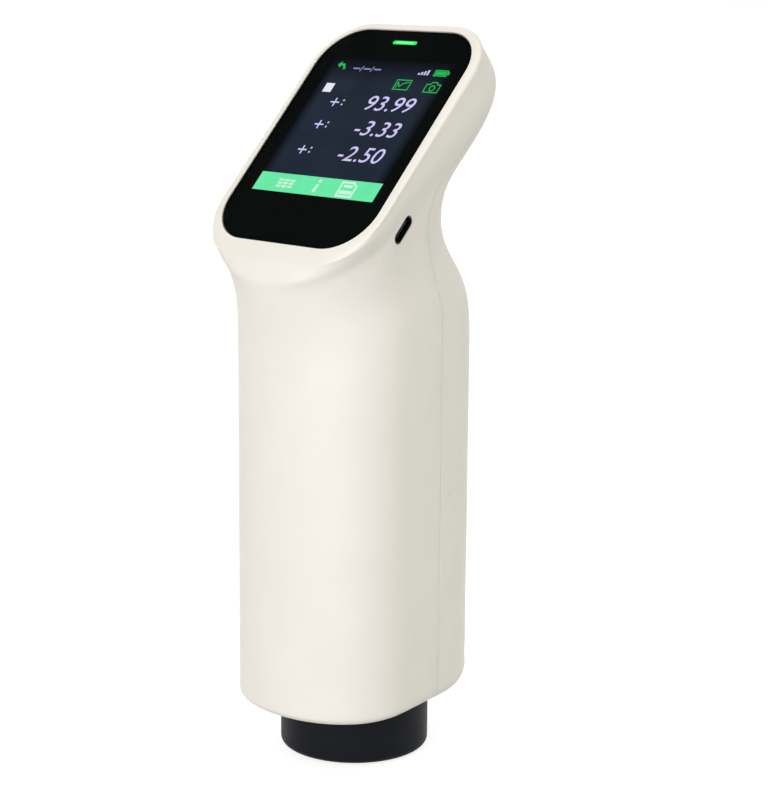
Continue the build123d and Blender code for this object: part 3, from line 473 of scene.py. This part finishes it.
def stroke(points, width):
    """Plates along a line of points, each as long as its run."""
    plates = []
    for start, end in zip(points, points[1:]):
        run = Vector(end) - Vector(start)
        side = Vector((-run.y, run.x)).normalized() * width / 2
        along = run.normalized() * width / 2
        first = Vector(start) - along
        last = Vector(end) + along
        plates.append([tuple(first - side), tuple(last - side), tuple(last + side), tuple(first + side)])
    return plates


def slab_mesh(name, outlines, layer):
    """Flat closed plates of the display in one layer, one for each outline."""
    top, bottom = layer
    build = bmesh.new()
    for outline in outlines:
        placed = moved(outline, DISPLAY_ACROSS, DISPLAY_UP)
        upper = [build.verts.new(face_point(x, y, top)) for x, y in placed]
        lower = [build.verts.new(face_point(x, y, bottom)) for x, y in placed]
        build.faces.new(upper)
        build.faces.new(lower[::-1])
        count = len(outline)
        for here in range(count):
            after = (here + 1) % count
            build.faces.new((upper[here], lower[here], lower[after], upper[after]))
    bmesh.ops.recalc_face_normals(build, faces=build.faces)
    bmesh.ops.triangulate(build, faces=[face for face in build.faces if len(face.verts) > 4])
    return finished_mesh(name, build)


def ring_mesh(name, outer, inner, layer):
    """A flat closed frame between an outer and an inner outline with as many points."""
    top, bottom = layer
    build = bmesh.new()
    rows = []
    for outline, depth in ((outer, top), (inner, top), (inner, bottom), (outer, bottom)):
        rows.append([build.verts.new(face_point(x, y, depth)) for x, y in outline])
    count = len(outer)
    for first, second in zip(rows, rows[1:] + rows[:1]):
        for here in range(count):
            after = (here + 1) % count
            build.faces.new((first[here], first[after], second[after], second[here]))
    return finished_mesh(name, build)


def pane_mesh(name, round_steps=5, outline_steps=16):
    """The cover glass with a rounded upper edge."""
    top, bottom = GLASS_LAYER
    turns = [pi / 2 * step / round_steps for step in range(round_steps + 1)]
    profile = [(GLASS_ROUND * (1 - sin(turn)), top + GLASS_ROUND * (1 - cos(turn))) for turn in turns]
    profile.append((0.0, bottom))
    build = bmesh.new()
    loops = []
    for inset, depth in profile:
        outline = glass_outline(inset, outline_steps)
        loops.append([build.verts.new(face_point(x, y, depth)) for x, y in outline])
    count = len(loops[0])
    for upper, lower in zip(loops, loops[1:]):
        for here in range(count):
            after = (here + 1) % count
            build.faces.new((upper[here], lower[here], lower[after], upper[after]))
    build.faces.new(loops[0])
    build.faces.new(loops[-1][::-1])
    mesh = finished_mesh(name, build)
    for polygon in mesh.polygons:
        polygon.use_smooth = len(polygon.vertices) == 4
    return mesh


def number_mesh(name, text, right, low):
    """A number in plain digits, standing on a line and ending at its right, as a closed flat mesh."""
    curve = bpy.data.curves.new(name, "FONT")
    curve.body = text
    curve.size = 1.0
    curve.align_x = "RIGHT"
    curve.resolution_u = 4
    curve.shear = DIGIT_SLANT
    curve.space_character = DIGIT_SPACING
    holder = bpy.data.objects.new(name, curve)
    scene.collection.objects.link(holder)
    bpy.context.view_layer.update()
    drawn = bpy.data.meshes.new_from_object(holder)
    bpy.data.objects.remove(holder)
    points = [vertex.co.copy() for vertex in drawn.vertices]
    scale = DIGIT_HEIGHT / max(point.y for point in points)
    last = max(point.x for point in points)
    build = bmesh.new()
    build.from_mesh(drawn)
    bpy.data.meshes.remove(drawn)
    bmesh.ops.remove_doubles(build, verts=build.verts, dist=0.0005)
    bmesh.ops.solidify(build, geom=build.faces[:], thickness=0.01)
    top, bottom = MARK_LAYER
    heights = [vertex.co.z for vertex in build.verts]
    middle = (min(heights) + max(heights)) / 2
    for vertex in build.verts:
        depth = top if vertex.co.z > middle else bottom
        across = right + (vertex.co.x - last) * scale * DIGIT_STRETCH
        up = low + vertex.co.y * scale
        vertex.co = face_point(across + DISPLAY_ACROSS, up + DISPLAY_UP, depth)
    return finished_mesh(name, build)


def flat_piece(name, outlines, material, layer=MARK_LAYER):
    return add_piece(name, slab_mesh(name, outlines, layer), material)


def table_mark():
    """A table of values, three by three, for the first soft key."""
    left_edge = -15.2
    low_edge = -20.5
    column_step = 2.3
    line_step = 1.15
    width = 1.8
    height = 0.75
    cells = []
    for column in range(3):
        for line in range(3):
            left = left_edge + column * column_step
            low = low_edge + line * line_step
            cells.append(rectangle(left, left + width, low, low + height))
    return cells


def info_mark():
    stem = [(-0.2, -21.0), (0.9, -21.0), (1.2, -18.1), (0.1, -18.1)]
    dot = [(0.2, -17.4), (1.3, -17.4), (1.45, -16.3), (0.35, -16.3)]
    return [stem, dot]


def memory_mark():
    """A memory card with a cut corner and two labels."""
    card = [(9.6, -21.3), (9.6, -16.4), (14.0, -16.4), (15.4, -17.6), (15.4, -21.3), (9.6, -21.3)]
    upper_label = [(11.2, -17.7), (13.6, -17.7)]
    lower_label = [(10.9, -19.9), (14.2, -19.9)]
    return stroke(card, 0.7) + stroke(upper_label, 1.0) + stroke(lower_label, 1.3)


def back_mark():
    head = [(-21.0, 26.3), (-19.6, 27.6), (-19.6, 25.1)]
    tail = [(-19.7, 26.4), (-18.4, 26.3), (-17.6, 25.0)]
    return [head] + stroke(tail, 0.8)


def battery_mark():
    case = [(18.5, 24.2), (18.5, 26.2), (23.3, 26.2), (23.3, 24.2), (18.5, 24.2)]
    charge = rectangle(18.9, 22.9, 24.5, 25.9)
    contact = rectangle(23.5, 24.1, 24.7, 25.7)
    return stroke(case, 0.35) + [charge, contact]


def level_mark():
    """Four bars, each higher than the one before."""
    left_edge = 12.4
    step = 1.1
    width = 0.65
    low = 24.2
    first_high = 24.9
    rise = 0.4
    bars = []
    for count in range(4):
        left = left_edge + step * count
        bars.append(rectangle(left, left + width, low, first_high + rise * count))
    return bars


def mode_mark():
    """Three dashes with a slash between each two."""
    dashes = 3
    left_edge = -13.6
    step = 4.2
    line = 25.2
    length = 2.2
    slash_low = 24.3
    slash_high = 26.1
    marks = []
    for count in range(dashes):
        left = left_edge + step * count
        marks += stroke([(left, line), (left + length, line)], 0.5)
        if count < dashes - 1:
            marks += stroke([(left + 2.9, slash_low), (left + 3.4, slash_high)], 0.3)
    return marks


def chart_mark():
    border = [(6.2, 18.3), (6.2, 21.9), (11.8, 21.9), (11.8, 18.3), (6.2, 18.3)]
    graph = [(7.0, 19.0), (7.0, 21.0), (8.2, 19.4), (9.2, 20.6), (11.0, 21.2)]
    return stroke(border, MARK_LINE) + stroke(graph, MARK_LINE)


def camera_mark():
    left_side = [(18.2, 18.0), (18.2, 20.9), (19.5, 20.9), (20.0, 21.7)]
    right_side = [(21.8, 21.7), (22.3, 20.9), (23.5, 20.9), (23.5, 18.0), (18.2, 18.0)]
    lens = circle(20.9, 19.5, 0.95)
    return stroke(left_side + right_side, MARK_LINE) + stroke(lens, 0.32)


def row_mark(left, low):
    """A plus and two dots before a reading."""
    width = 0.5
    half_across = 1.5
    half_up = 1.3
    middle = left + half_across
    line = low + 0.6
    dot = 0.6
    dots_left = left + 4.4
    marks = stroke([(left, line), (left + 2 * half_across, line)], width)
    marks += stroke([(middle, line + half_up), (middle, line - half_up)], width)
    for base in (low - 0.4, low + 1.2):
        marks.append(rectangle(dots_left, dots_left + dot, base, base + dot))
    return marks


def make_glass():
    """The pane, the black print behind it and the black paint of its edge."""
    pane = add_piece("glass_pane", pane_mesh("glass_pane"), pane_glass)
    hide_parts("cover_glass")
    # Light reaches the print as through a thin clear sheet, without the grain of focused light
    pane.visible_shadow = False
    pane.visible_diffuse = False
    pane.visible_glossy = False
    opening = rounded(2 * IMAGE_HALF_WIDTH, IMAGE_HIGH - IMAGE_LOW, IMAGE_CORNER)
    opening = moved(opening, DISPLAY_ACROSS, (IMAGE_LOW + IMAGE_HIGH) / 2 + DISPLAY_UP)
    border = ring_mesh("glass_print", glass_outline(PRINT_INSET), opening, PRINT_LAYER)
    add_piece("glass_print", border, print_black)
    skirt = ring_mesh("glass_edge", glass_outline(EDGE_INSET), glass_outline(EDGE_REACH), EDGE_LAYER)
    add_piece("glass_edge", skirt, print_black)


def make_picture():
    """The lit ground of the display, its green bar, its marks and its readings."""
    side = IMAGE_HALF_WIDTH + GROUND_MARGIN
    ground = rectangle(-side, side, IMAGE_LOW - GROUND_MARGIN, IMAGE_HIGH + GROUND_MARGIN)
    flat_piece("display_ground", [ground], ground_lit, IMAGE_LAYER)
    bar = rectangle(BAR_LEFT, IMAGE_HALF_WIDTH, IMAGE_LOW, BAR_HIGH)
    flat_piece("display_bar", [bar], glow_green, BAR_LAYER)
    flat_piece("key_table", table_mark(), glow_pale)
    flat_piece("key_info", info_mark(), glow_pale)
    flat_piece("key_memory", memory_mark(), glow_pale)
    flat_piece("mark_back", back_mark(), glow_icon)
    flat_piece("mark_battery", battery_mark(), glow_icon)
    flat_piece("mark_level", level_mark(), glow_text)
    flat_piece("mark_mode", mode_mark(), glow_dim)
    flat_piece("mark_sample", [rectangle(-20.6, -17.2, 15.6, 19.0)], glow_white)
    flat_piece("mark_chart", chart_mark(), glow_icon)
    flat_piece("mark_camera", camera_mark(), glow_icon)
    for name, text, right, low in READINGS:
        add_piece(name, number_mesh(name, text, right, low), glow_text)
    for name, left, low in ROWS:
        flat_piece(name, row_mark(left, low), glow_text)


def make_status_light():
    outline = moved(rounded(LIGHT_WIDTH, LIGHT_HEIGHT, LIGHT_CORNER, 8), LIGHT_ACROSS, LIGHT_UP)
    flat_piece("status_light", [outline], glow_light, LIGHT_LAYER)
    core = moved(rounded(CORE_WIDTH, CORE_HEIGHT, CORE_CORNER, 8), LIGHT_ACROSS, LIGHT_UP)
    flat_piece("status_core", [core], glow_core, CORE_LAYER)


make_glass()
make_picture()
make_status_light()


# Studio


def sees_studio(tree):
    """1 for rays of the camera and those mirrored or let through, which see the pale studio, else 0."""
    path = tree.nodes.new("ShaderNodeLightPath")
    found = path.outputs["Is Camera Ray"]
    for kind in ("Is Glossy Ray", "Is Transmission Ray"):
        either = tree.nodes.new("ShaderNodeMath")
        either.operation = "MAXIMUM"
        tree.links.new(found, either.inputs[0])
        tree.links.new(path.outputs[kind], either.inputs[1])
        found = either.outputs[0]
    return found


def floor_material():
    """Pale floor: white to the camera where it is lit, grey in the object's shadow."""
    shade = Shade("studio_floor")
    shade.tree.nodes.remove(shade.shader)
    diffuse = shade.node("ShaderNodeBsdfDiffuse")
    diffuse.inputs["Color"].default_value = FLOOR_COLOUR
    level = shade.node("ShaderNodeMath", operation="MULTIPLY")
    level.inputs[1].default_value = FLOOR_GLOW
    shade.link(sees_studio(shade.tree), level.inputs[0])
    glow = shade.node("ShaderNodeEmission")
    shade.link(level.outputs[0], glow.inputs["Strength"])
    add = shade.node("ShaderNodeAddShader")
    shade.link(diffuse.outputs[0], add.inputs[0])
    shade.link(glow.outputs[0], add.inputs[1])
    shade.link(add.outputs[0], shade.tree.nodes["Material Output"].inputs["Surface"])
    return shade.material


def make_floor():
    build = bmesh.new()
    steps = 24
    for step in range(steps):
        turn = 2 * pi * step / steps
        build.verts.new((FLOOR_RADIUS * cos(turn), FLOOR_RADIUS * sin(turn), -FLOOR_DROP))
    build.faces.new(build.verts)
    mesh = bpy.data.meshes.new("studio_floor")
    build.to_mesh(mesh)
    build.free()
    mesh.materials.append(floor_material())
    floor = bpy.data.objects.new("studio_floor", mesh)
    scene.collection.objects.link(floor)


def make_world():
    """A plain room: soft light on the object, white to every ray that sees the studio."""
    world = bpy.data.worlds.new("studio")
    scene.world = world
    world.use_nodes = True
    tree = world.node_tree
    tree.nodes.clear()
    output = tree.nodes.new("ShaderNodeOutputWorld")
    seen = tree.nodes.new("ShaderNodeBackground")
    seen.inputs["Color"].default_value = (*WHITE, 1)
    seen.inputs["Strength"].default_value = 1.0
    lit = tree.nodes.new("ShaderNodeBackground")
    lit.inputs["Color"].default_value = WORLD_COLOUR
    lit.inputs["Strength"].default_value = WORLD_LEVEL
    mix = tree.nodes.new("ShaderNodeMixShader")
    tree.links.new(sees_studio(tree), mix.inputs["Fac"])
    tree.links.new(lit.outputs[0], mix.inputs[1])
    tree.links.new(seen.outputs[0], mix.inputs[2])
    tree.links.new(mix.outputs[0], output.inputs["Surface"])


def make_flag():
    """A dark card that only reflections see, so that the glass reads black."""
    centre = face_point(0, 0, 0) + FLAG_AWAY * FLAG_AIM
    turn = FLAG_AIM.to_track_quat("Z", "Y").to_matrix()
    build = bmesh.new()
    outline = rounded(FLAG_SIDE, FLAG_SIDE, FLAG_CORNER, 6)
    corners = [build.verts.new(centre + turn @ Vector((x, y, 0))) for x, y in outline]
    build.faces.new(corners)
    mesh = bpy.data.meshes.new("studio_flag")
    build.to_mesh(mesh)
    build.free()
    mesh.materials.append(plastic("studio_flag", (0.004, 0.004, 0.004), 0.9))
    flag = bpy.data.objects.new("studio_flag", mesh)
    scene.collection.objects.link(flag)
    flag.visible_camera = False
    flag.visible_diffuse = False
    flag.visible_shadow = False
    flag.visible_transmission = False


def make_lamp(name, place, size, power, colour):
    lamp = bpy.data.lights.new(name, "AREA")
    lamp.shape = "RECTANGLE"
    lamp.size, lamp.size_y = size
    lamp.energy = power
    lamp.color = colour
    holder = bpy.data.objects.new(name, lamp)
    holder.location = place
    holder.rotation_euler = (LAMP_AIM - Vector(place)).to_track_quat("-Z", "Y").to_euler()
    scene.collection.objects.link(holder)


def make_camera():
    camera = bpy.data.cameras.new("photo_camera")
    camera.sensor_width = CAMERA_SENSOR
    camera.lens = CAMERA_LENS
    camera.clip_start = CAMERA_NEAR
    camera.clip_end = CAMERA_FAR
    holder = bpy.data.objects.new("photo_camera", camera)
    scene.collection.objects.link(holder)
    place = Matrix((CAMERA_RIGHT, CAMERA_UP, CAMERA_BACK)).transposed().to_4x4()
    place.translation = CAMERA_PLACE
    holder.matrix_world = place
    scene.camera = holder


make_world()
make_floor()
for name, place, size, power, colour in LAMPS:
    make_lamp(name, place, size, power, colour)
make_flag()
make_camera()
scene.view_settings.view_transform = "Standard"
